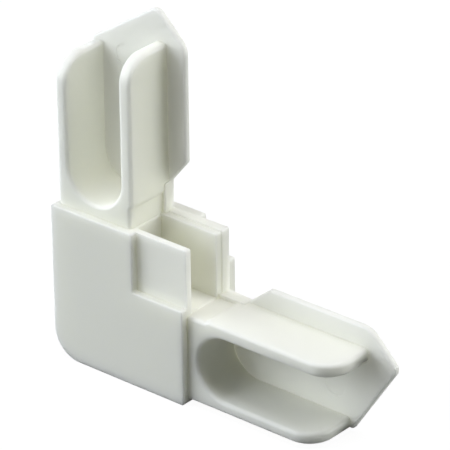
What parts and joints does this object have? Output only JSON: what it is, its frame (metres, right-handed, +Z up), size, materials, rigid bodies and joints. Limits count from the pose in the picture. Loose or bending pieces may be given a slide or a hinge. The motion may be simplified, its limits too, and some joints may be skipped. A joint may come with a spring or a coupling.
{
  "type": "frame corner connector",
  "caption": "One-piece moulded plastic corner connector for hollow frame profiles: square corner block with an open gusset pocket and two U-channel plug legs at a right angle.",
  "frame": {"origin": "centre of the bounding box in X and Y, at the level of the corner block's foot", "axes": "+X along the flat leg, away from the block; +Z up along the upright leg; -Y is the front, where both leg channels open; +Y is the plain back"},
  "size_m": [0.0814, 0.0176, 0.0814],
  "materials": {
    "white_plastic": "satin"
  },
  "bodies": {
    "root": {"corner_connector": "white_plastic"}
  },
  "joints": []
}
